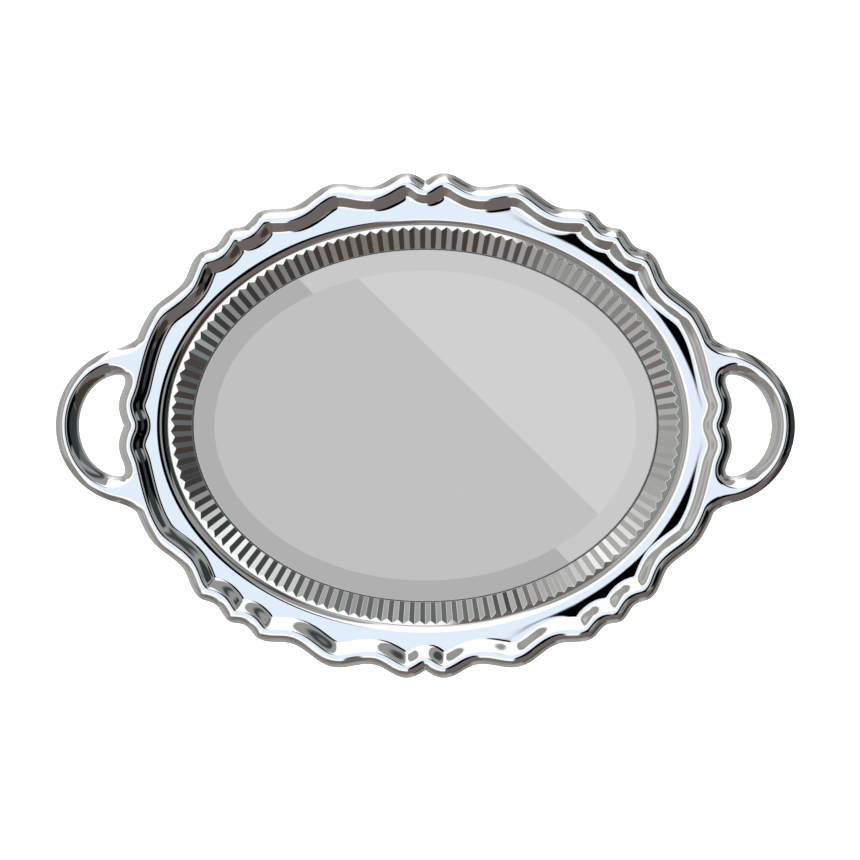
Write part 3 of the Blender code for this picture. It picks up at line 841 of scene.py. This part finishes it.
def screw_tree():
    """A pan-head screw with a cross recess, head down, on every point of the input mesh."""
    sizes = ["Head Radius", "Head Height", "Shank Radius", "Length", "Recess Width"]
    sockets = [("Material", "NodeSocketMaterial")] + [(label, "NodeSocketFloat") for label in sizes]
    tree, nodes, source = node_group("pan_head_screws", sockets)

    def cone(sides, low, high, depth, base):
        inputs = {"Vertices": sides, "Radius Bottom": low, "Radius Top": high, "Depth": depth}
        made = nodes.add("GeometryNodeMeshCone", inputs).outputs[0]
        shift = nodes.add("ShaderNodeCombineXYZ", {2: base}).outputs[0]
        return nodes.add("GeometryNodeTransform", {"Geometry": made, "Translation": shift}).outputs[0]

    half = nodes.math("MULTIPLY", source["Head Height"], 0.45)
    crown = cone(32, nodes.math("MULTIPLY", source["Head Radius"], 0.72), source["Head Radius"], half, 0.0)
    rest = nodes.math("SUBTRACT", source["Head Height"], half)
    head = cone(32, source["Head Radius"], source["Head Radius"], rest, half)
    shank_length = nodes.math("SUBTRACT", source["Length"], source["Head Height"])
    shank = cone(20, source["Shank Radius"], source["Shank Radius"], shank_length, source["Head Height"])

    def slot_box(along_x):
        narrow = source["Recess Width"]
        wide = nodes.math("MULTIPLY", source["Head Radius"], 1.15)
        depth = nodes.math("MULTIPLY", source["Head Height"], 1.1)
        sides = (wide, narrow) if along_x else (narrow, wide)
        size = nodes.add("ShaderNodeCombineXYZ", (*sides, depth))
        return nodes.add("GeometryNodeMeshCube", {"Size": size.outputs[0]}).outputs[0]

    joined = nodes.add("GeometryNodeMeshBoolean", operation="UNION")
    joined.solver = "EXACT"
    for body in (crown, head, shank):
        nodes.tree.links.new(body, joined.inputs["Mesh 2"])
    cut = nodes.add("GeometryNodeMeshBoolean", operation="DIFFERENCE")
    cut.solver = "EXACT"
    nodes.put(cut.inputs["Mesh 1"], joined.outputs[0])
    for body in (slot_box(True), slot_box(False)):
        nodes.tree.links.new(body, cut.inputs["Mesh 2"])
    inputs = {"Points": source["Geometry"], "Instance": cut.outputs[0]}
    placed = nodes.add("GeometryNodeInstanceOnPoints", inputs).outputs[0]
    end_tree(nodes, placed, source["Material"], False)
    return tree


# ---------------------------------------------------------------- operators: the tray


class TRAY_OT_border(bpy.types.Operator):
    """Make the scalloped border with its rolled edge, step, band, shoulder and hidden well"""

    bl_idname = "tray.border"
    bl_label = "Scalloped Border"

    def execute(self, context):
        scene = context.scene
        rows = all_quarters(border_rows(scene.tray_border, scene.tray_handle))
        half_width = half_size("rim_frame")[1]
        rows[..., 1] = np.clip(rows[..., 1], -half_width, half_width)
        border = new_object("scalloped_border", grid_mesh("scalloped_border", rows, ring=True))
        finish_piece(border, finish("chrome"), ["rim_frame"])
        # Painted shade: every face whose middle lies below the ring's foot, such as the hidden flange and
        # well, takes the dark board lacquer. It stands for the shade in the gap between the ring and the
        # mirror.
        border.data.materials.append(finish("board"))
        for face in border.data.polygons:
            if face.center.z < RING_LOW:
                face.material_index = 1
        return {"FINISHED"}


LUG_RADIUS, LUG_HEIGHT = 5 * MM, 3.1 * MM


class TRAY_OT_handles(bpy.types.Operator):
    """Make the two loop handles, which blend into the border and carry screw lugs under it"""

    bl_idname = "tray.handles"
    bl_label = "Loop Handles"

    lug_start: oval("Lug Screw", "Place of a lug's screw", (165 * MM, 36 * MM))
    lug_end: oval("Lug Root", "Place where a lug meets the handle", (188.5 * MM, 41 * MM))

    def execute(self, context):
        scene = context.scene
        rows = handle_rows(scene.tray_border, scene.tray_handle)
        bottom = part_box("handle_right")[0].z
        for hand, side in (("right", 1), ("left", -1)):
            name = f"loop_handle_{hand}"
            handle = new_object(name, grid_mesh(name, rows * [side, 1, 1], ring=False, capped=True))
            for way in (1, -1):
                start = (self.lug_start[0] * side, self.lug_start[1] * way)
                end = (self.lug_end[0] * side, self.lug_end[1] * way)
                lug = capsule_mesh("lug", start, end, LUG_RADIUS, bottom, bottom + LUG_HEIGHT)
                add_mesh(handle.data, lug)
            finish_piece(handle, finish("chrome"), [f"handle_{hand}"])
        return {"FINISHED"}


class TRAY_OT_ring(bpy.types.Operator):
    """Make the fluted ring that frames the mirror"""

    bl_idname = "tray.ring"
    bl_label = "Fluted Ring"

    def execute(self, context):
        ring = context.scene.tray_ring
        groove_foot = RING_LOW + 1.0 * MM
        item = new_object("fluted_insert", bpy.data.meshes.new("fluted_insert"))
        values = {
            "Flutes": ring.flutes,
            "Material": finish("fluted"),
            "Bottom": RING_LOW,
            "Ridge Foot": groove_foot + ring.groove_depth,
            "Groove Foot": groove_foot,
            "Ridge Top": RING_HIGH,
            "Groove Top": RING_HIGH - 0.65 * MM,
            "Hem Top": RING_HIGH - 1.1 * MM,
            "Foot Oval": (*ring.foot, 1.0),
            "Ridge Oval": (*ring.ridge_top, 1.0),
            "Groove Oval": (*ring.groove_top, 1.0),
            "Hem Oval": (*RING_SIZE, 1.0),
        }
        run_tree(item, fluted_ring_tree(), values)
        tidy_mesh(item.data, 12)
        bevel = item.modifiers.new("eased_edges", "BEVEL")
        bevel.width = ring.edge
        bevel.segments = 2
        bevel.limit_method = "ANGLE"
        bevel.angle_limit = math.radians(15)
        bake_modifiers(item)
        finish_piece(item, finish("fluted"), ["fluted_ring"])
        return {"FINISHED"}


class TRAY_OT_mirror(bpy.types.Operator):
    """Make the bevelled mirror plate"""

    bl_idname = "tray.mirror"
    bl_label = "Bevelled Mirror"

    def execute(self, context):
        glass = context.scene.tray_mirror
        bevel_top = MIRROR_HIGH - glass.bevel_drop
        seam_top = bevel_top - glass.seam * 0.7
        levels = [(0.4 * MM, MIRROR_LOW), (0.0, MIRROR_LOW + 0.4 * MM), (0.0, seam_top)]
        levels += [(glass.seam, bevel_top), (glass.seam + glass.bevel, MIRROR_HIGH)]
        mesh = plate_mesh("bevelled_mirror", MIRROR_SIZE, levels, 480)
        mesh.set_sharp_from_angle(angle=math.radians(3))
        item = new_object("bevelled_mirror", mesh)
        finish_piece(item, None, ["mirror_plate"])
        for material in mirror_materials(context.scene.tray_finish.mirror):
            mesh.materials.append(material)
        for face in mesh.polygons:
            if face.normal.z < -0.5:
                face.material_index = 2
            elif face.normal.z < 0.9:
                face.material_index = 1
        return {"FINISHED"}


class TRAY_OT_backing(bpy.types.Operator):
    """Make the foam tape and the card that lie under the mirror"""

    bl_idname = "tray.backing"
    bl_label = "Mirror Backing"

    tape_width: length("Tape Width", "Width of the foam tape", 5.5 * MM)

    def execute(self, context):
        a, b = half_size("mirror_foam_tape")
        low, high = node_range("mirror_foam_tape")
        width = self.tape_width
        levels = [(a, b, low), (a + 0.1 * MM, b + 0.1 * MM, (low + high) / 2), (a, b, high)]
        levels += [(a - width, b - width, high), (a - width, b - width, low)]
        tape = new_object("foam_tape", oval_ring_mesh("foam_tape", levels))
        finish_piece(tape, finish("foam"), ["mirror_foam_tape"])
        low, high = node_range("backing_pad")
        levels = [(0.2 * MM, low), (0.0, low + 0.3 * MM), (0.0, high - 0.3 * MM), (0.2 * MM, high)]
        card = new_object("backing_card", plate_mesh("backing_card", half_size("backing_pad"), levels, 180))
        finish_piece(card, finish("card"), ["backing_pad"])
        return {"FINISHED"}


class TRAY_OT_base(bpy.types.Operator):
    """Make the base board and its felt"""

    bl_idname = "tray.base"
    bl_label = "Base Board and Felt"

    def execute(self, context):
        low, high = node_range("base_board")
        levels = [(0.8 * MM, low), (0.25 * MM, low + 0.25 * MM), (0.0, low + 0.8 * MM)]
        levels += [(0.0, high - 0.3 * MM), (0.3 * MM, high)]
        board = new_object("base_panel", plate_mesh("base_panel", half_size("base_board"), levels))
        finish_piece(board, finish("board"), ["base_board"])
        low, high = node_range("base_felt")
        levels = [(0.5 * MM, low), (0.15 * MM, low + 0.12 * MM), (0.0, low + 0.35 * MM), (0.0, high)]
        a, b = half_size("base_felt")
        felt = new_object("felt_pad", plate_mesh("felt_pad", (a, b), levels))
        finish_piece(felt, finish("felt"), ["base_felt"])
        return {"FINISHED"}


class TRAY_OT_feet(bpy.types.Operator):
    """Make the four rubber feet, each with a recess for its screw"""

    bl_idname = "tray.feet"
    bl_label = "Rubber Feet"

    recess: length("Recess Radius", "Radius of the recess that the foot's screw sits in", 3.8 * MM)

    def execute(self, context):
        low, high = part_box("foot_1")
        radius = (high.x - low.x) / 2
        bottom, top = low.z, high.z
        profile = [(radius - 0.5 * MM, top), (radius, top - 0.5 * MM)]
        for turn in np.radians([0, 30, 60, 90]):
            inset, rise = 1 - math.cos(turn), 1 - math.sin(turn)
            profile.append((radius - 0.9 * MM * inset, bottom + 0.9 * MM * rise))
        profile += [(self.recess + 0.3 * MM, bottom), (self.recess, bottom + 0.3 * MM)]
        profile += [(self.recess, bottom + 1.8 * MM), (1.9 * MM, bottom + 1.8 * MM), (1.9 * MM, top)]
        feet = new_object("rubber_feet", turned_mesh("rubber_feet", profile, node_centres("foot", 4)))
        finish_piece(feet, finish("rubber"), [f"foot_{number}" for number in range(1, 5)])
        return {"FINISHED"}


class TRAY_OT_screws(bpy.types.Operator):
    """Make the pan-head screws of the base, the feet and the handles"""

    bl_idname = "tray.screws"
    bl_label = "Screws"

    recess: length("Recess Width", "Width of each slot of the cross recess", 0.9 * MM)

    def execute(self, context):
        tree = screw_tree()
        for prefix, count in (("base_screw", 8), ("foot_screw", 4), ("handle_screw", 4)):
            low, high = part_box(f"{prefix}_1")
            places = [(x, y, low.z) for x, y in node_centres(prefix, count)]
            mesh = bpy.data.meshes.new(prefix + "s")
            mesh.from_pydata(places, [], [])
            item = new_object(prefix + "s", mesh)
            values = {
                "Material": finish("steel"),
                "Head Radius": (high.x - low.x) / 2,
                "Head Height": 1.2 * MM,
                "Shank Radius": 1.6 * MM,
                "Length": high.z - low.z,
                "Recess Width": self.recess,
            }
            run_tree(item, tree, values)
            nodes = [f"{prefix}_{number}" for number in range(1, count + 1)]
            finish_piece(item, finish("steel"), nodes)
        return {"FINISHED"}


class TRAY_OT_bosses(bpy.types.Operator):
    """Make the bosses under the border that the handle screws go up into"""

    bl_idname = "tray.bosses"
    bl_label = "Handle Bosses"

    def execute(self, context):
        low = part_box("handle_right")[0].z + 3.4 * MM
        high = context.scene.tray_border.crest - context.scene.tray_border.step_height - 1.2 * MM
        profile = [(4.2 * MM, high), (3.5 * MM, high - 0.7 * MM), (3.3 * MM, low + 0.3 * MM), (3.0 * MM, low)]
        profile += [(1.9 * MM, low), (1.9 * MM, high - 0.1 * MM)]
        mesh = turned_mesh("border_bosses", profile, node_centres("handle_screw", 4), 32)
        finish_piece(new_object("border_bosses", mesh), finish("chrome"), [])
        return {"FINISHED"}


# ---------------------------------------------------------------- operators: the stage


def linear(shade):
    """A screen colour, 0 to 255, as linear light."""
    values = np.array(shade) / 255
    return tuple(np.where(values <= 0.04045, values / 12.92, ((values + 0.055) / 1.055) ** 2.4))


# The studio around the tray, as panels in degrees from straight up:
# (left, right, front, back, colour, softness).
PANELS = [
    (-200, 200, -200, 200, (150, 151, 149), 1.0),
    (-200, -36, -200, 200, (160, 161, 159), 1.5),
    (-56, -50, -30, 200, (190, 190, 185), 2.0),
    (-200, -80, -60, 60, (188, 188, 180), 6.0),
    (-200, 60, -200, -42, (116, 108, 104), 1.5),
    (-200, -30, -200, -25, (138, 135, 131), 4.0),
    (-45, 40, -200, -78, (165, 172, 168), 4.0),
    (2, 200, -200, -27, (108, 100, 98), 1.5),
    (45, 200, -80, -20, (66, 56, 53), 3.0),
    (10, 200, 17, 200, (150, 152, 149), 1.5),
    (30, 42, 34, 80, (62, 68, 68), 5.0),
    (56, 200, 30, 80, (92, 102, 104), 6.0),
    (50, 200, -20, 34, (50, 58, 60), 2.0),
    (33, 56, -23, 15, (2, 2, 2), 1.5),
    (18, 34, -27, 17, (138, 143, 138), 1.0),
    (23, 26, -27, 17, (168, 172, 168), 1.0),
    (-35, 3.5, -43, 40, (262, 262, 262), 1.5),
    (-26, 12, 17, 200, (262, 262, 262), 1.5),
    (2.6, 19.5, -29, 18, (1, 1, 1), 0.8),
    (-18, 2.8, -30, 18, (232, 243, 258), 1.0),
]


# The studio's walls at the horizon: (degrees around from -X, colour).
HORIZON = [(0, (172, 172, 169)), (36, (164, 164, 162)), (54, (112, 107, 105)), (78, (122, 117, 114))]
HORIZON += [(107, (158, 160, 158)), (114, (72, 65, 62)), (150, (66, 59, 56)), (178, (54, 60, 60))]
HORIZON += [(196, (70, 76, 77)), (212, (112, 115, 113)), (243, (58, 62, 61)), (254, (180, 181, 178))]
HORIZON += [(267, (254, 254, 254)), (284, (200, 199, 197)), (300, (151, 150, 146)), (330, (180, 180, 176))]
HORIZON += [(360, (172, 172, 169))]
BELOW = (176, 176, 170)

# Rays from further away than this pass through a card, so only the glass just below reflects it.
CARD_REACH = 4 * MM


class TRAY_OT_studio(bpy.types.Operator):
    """Make the floor, the soft studio light and the camera straight above the tray"""

    bl_idname = "tray.studio"
    bl_label = "Studio"

    camera_distance: length("Camera Distance", "Height of the camera above the tray", 9.0)
    view_width: length("View Width", "Width of the view at the tray", 0.5347)
    view_centre: oval("View Centre", "Place under the middle of the view", (0.0029, -0.0028))
    card_gap: length("Card Gap", "Height of the glowing cards above the glass", 0.6 * MM)

    def execute(self, context):
        self.make_floor(context)
        self.make_world(context)
        self.make_lights(context)
        self.make_mirror_cards(context)
        self.make_camera(context)
        context.scene.view_settings.view_transform = "Standard"
        return {"FINISHED"}

    def make_floor(self, context):
        """A pale floor that can be seen through from below, so that the underside shows."""
        bpy.ops.mesh.primitive_plane_add(size=40, location=(0, 0, CAD_BOX[0].z - 0.0002))
        floor = context.object
        floor.name = "studio_floor"
        material, nodes, inputs = new_material("studio_floor")
        grain = object_noise(nodes, 30, 2.0)
        nodes.put(inputs["Base Color"], tinted(nodes, grain, context.scene.tray_finish.floor, 0.99, 1.01))
        inputs["Roughness"].default_value = 0.9
        inputs["Emission Color"].default_value = (1.0, 1.0, 1.0, 1.0)
        inputs["Emission Strength"].default_value = 0.85
        top = material.node_tree.nodes["Principled BSDF"].outputs[0]
        behind = nodes.add("ShaderNodeNewGeometry").outputs["Backfacing"]
        clear = nodes.add("ShaderNodeBsdfTransparent").outputs[0]
        both = nodes.add("ShaderNodeMixShader", (behind, top, clear)).outputs[0]
        nodes.put(material.node_tree.nodes["Material Output"].inputs["Surface"], both)
        floor.data.materials.append(material)
        floor.visible_glossy = False

    def make_world(self, context):
        world = bpy.data.worlds.new("studio")
        context.scene.world = world
        world.use_nodes = True
        nodes = Nodes(world.node_tree)
        world.node_tree.nodes.clear()
        way = nodes.add("ShaderNodeTexCoord").outputs["Generated"]
        x, y, z = nodes.add("ShaderNodeSeparateXYZ", (nodes.vector("NORMALIZE", way),)).outputs
        tilt = nodes.math("DEGREES", nodes.math("ARCCOSINE", z))
        flat = nodes.math("SQRT", nodes.math("MULTIPLY_ADD", x, x, nodes.math("MULTIPLY_ADD", y, y, 1e-9)))
        scale = nodes.math("DIVIDE", tilt, flat)
        across, along = nodes.math("MULTIPLY", x, scale), nodes.math("MULTIPLY", y, scale)

        def inside(value, low, high, soft):
            above = nodes.ramp(value, low - soft, low + soft)
            below = nodes.ramp(value, high - soft, high + soft, 1.0, 0.0)
            return nodes.math("MULTIPLY", above, below)

        shade = (*linear(PANELS[0][4]), 1.0)
        for left, right, front, back, panel, soft in PANELS[1:]:
            mask = nodes.math("MULTIPLY", inside(across, left, right, soft), inside(along, front, back, soft))
            shade = nodes.mix(mask, shade, (*linear(panel), 1.0))
        turn = nodes.math("DIVIDE", nodes.math("ARCTAN2", y, x), 2 * math.pi)
        walls = nodes.add("ShaderNodeValToRGB", (nodes.math("ADD", turn, 0.5),))
        stops = walls.color_ramp.elements
        while len(stops) < len(HORIZON):
            stops.new(0.5)
        for stop, (around, wall) in zip(stops, HORIZON):
            stop.position = around / 360
            stop.color = (*linear(wall), 1.0)
        shade = nodes.mix(nodes.ramp(tilt, 83, 88), shade, walls.outputs[0])
        shade = nodes.mix(nodes.ramp(tilt, 100, 112, 0.0, 0.6), shade, (*linear(BELOW), 1.0))
        seen = nodes.add("ShaderNodeLightPath").outputs["Is Camera Ray"]
        shade = nodes.mix(seen, shade, (1.0, 1.0, 1.0, 1.0))
        background = nodes.add("ShaderNodeBackground", (shade,)).outputs[0]
        nodes.add("ShaderNodeOutputWorld", (background,))

    def make_lights(self, context):
        light = bpy.data.lights.new("soft_top_light", "SUN")
        light.energy = 2.9
        light.angle = math.radians(70)
        light.use_shadow = False
        item = new_object("soft_top_light", light)
        item.rotation_euler = (math.radians(8), math.radians(-6), 0)
        item.visible_glossy = False

    def make_mirror_cards(self, context):
        """Glowing cards close above the glass, for its flat and for its bevel. Only reflections see them."""
        glass = context.scene.tray_mirror
        flat = np.array(MIRROR_SIZE) - glass.seam - glass.bevel
        self.make_card("flat_card", [flat], (0.700, 0.714), 36.2 * MM, (193, 208))
        self.make_card("bevel_card", [flat, np.array(MIRROR_SIZE)], (0.724, 0.689), 6.0 * MM, (176, 201))

    def make_card(self, name, rims, across, split, tones):
        """A card of two tones that meet on a straight line. It glows downwards only."""
        angles = np.linspace(0, 2 * math.pi, 180, endpoint=False)
        loops = [lifted(ellipse_points(rim, angles), MIRROR_HIGH + self.card_gap) for rim in rims]
        count = len(angles)
        mesh = bpy.data.meshes.new(name)
        faces = [list(range(count))[::-1]]
        if len(loops) == 2:
            faces = [[i, (i + 1) % count, count + (i + 1) % count, count + i] for i in range(count)]
        mesh.from_pydata(np.vstack(loops).tolist(), [], faces)
        card = new_object(name, mesh)
        card.visible_camera = False
        card.visible_diffuse = False
        card.visible_transmission = False
        card.visible_shadow = False
        material = bpy.data.materials.new(name)
        material.use_nodes = True
        nodes = Nodes(material.node_tree)
        material.node_tree.nodes.clear()
        place = nodes.add("ShaderNodeTexCoord").outputs["Object"]
        side = nodes.vector("DOT_PRODUCT", place, (*across, 0))
        bright = bpy.context.scene.tray_finish.mirror[0]
        dark, light = [(*(channel / bright for channel in linear((tone,) * 3)), 1.0) for tone in tones]
        shade = nodes.mix(nodes.ramp(side, split - 0.0004, split + 0.0004), dark, light)
        glow = nodes.add("ShaderNodeEmission", (shade,)).outputs[0]
        clear = nodes.add("ShaderNodeBsdfTransparent").outputs[0]
        behind = nodes.add("ShaderNodeNewGeometry").outputs["Backfacing"]
        travelled = nodes.add("ShaderNodeLightPath").outputs["Ray Length"]
        hidden = nodes.math("MAXIMUM", behind, nodes.math("GREATER_THAN", travelled, CARD_REACH))
        both = nodes.add("ShaderNodeMixShader", (hidden, glow, clear)).outputs[0]
        nodes.add("ShaderNodeOutputMaterial", (both,))
        mesh.materials.append(material)

    def make_camera(self, context):
        camera = bpy.data.cameras.new("camera_above")
        camera.sensor_width = 36
        camera.lens = 36 * self.camera_distance / self.view_width
        camera.clip_end = 100
        item = new_object("camera_above", camera)
        item.location = (*self.view_centre, self.camera_distance + BORDER_HIGH)
        context.scene.camera = item


# ---------------------------------------------------------------- panel and registration

STEPS = [
    TRAY_OT_border,
    TRAY_OT_handles,
    TRAY_OT_ring,
    TRAY_OT_mirror,
    TRAY_OT_backing,
    TRAY_OT_base,
    TRAY_OT_feet,
    TRAY_OT_screws,
    TRAY_OT_bosses,
    TRAY_OT_studio,
]


class TRAY_PT_panel(bpy.types.Panel):
    """The tray's pieces and sizes"""

    bl_idname = "TRAY_PT_panel"
    bl_label = "Oval Serving Tray"
    bl_space_type = "VIEW_3D"
    bl_region_type = "UI"
    bl_category = "Tray"

    def draw(self, context):
        for step in STEPS:
            self.layout.operator(step.bl_idname)
        for name, group in SETTINGS.items():
            box = self.layout.box()
            for prop in group.__annotations__:
                box.prop(getattr(context.scene, name), prop)


CLASSES = [*SETTINGS.values(), *STEPS, TRAY_PT_panel]


def register():
    for item in CLASSES:
        bpy.utils.register_class(item)
    for name, group in SETTINGS.items():
        setattr(bpy.types.Scene, name, PointerProperty(type=group))


def unregister():
    for name in SETTINGS:
        delattr(bpy.types.Scene, name)
    for item in reversed(CLASSES):
        bpy.utils.unregister_class(item)


def main():
    register()
    for step in STEPS:
        group, name = step.bl_idname.split(".")
        getattr(getattr(bpy.ops, group), name)()


if __name__ == "__main__":
    main()
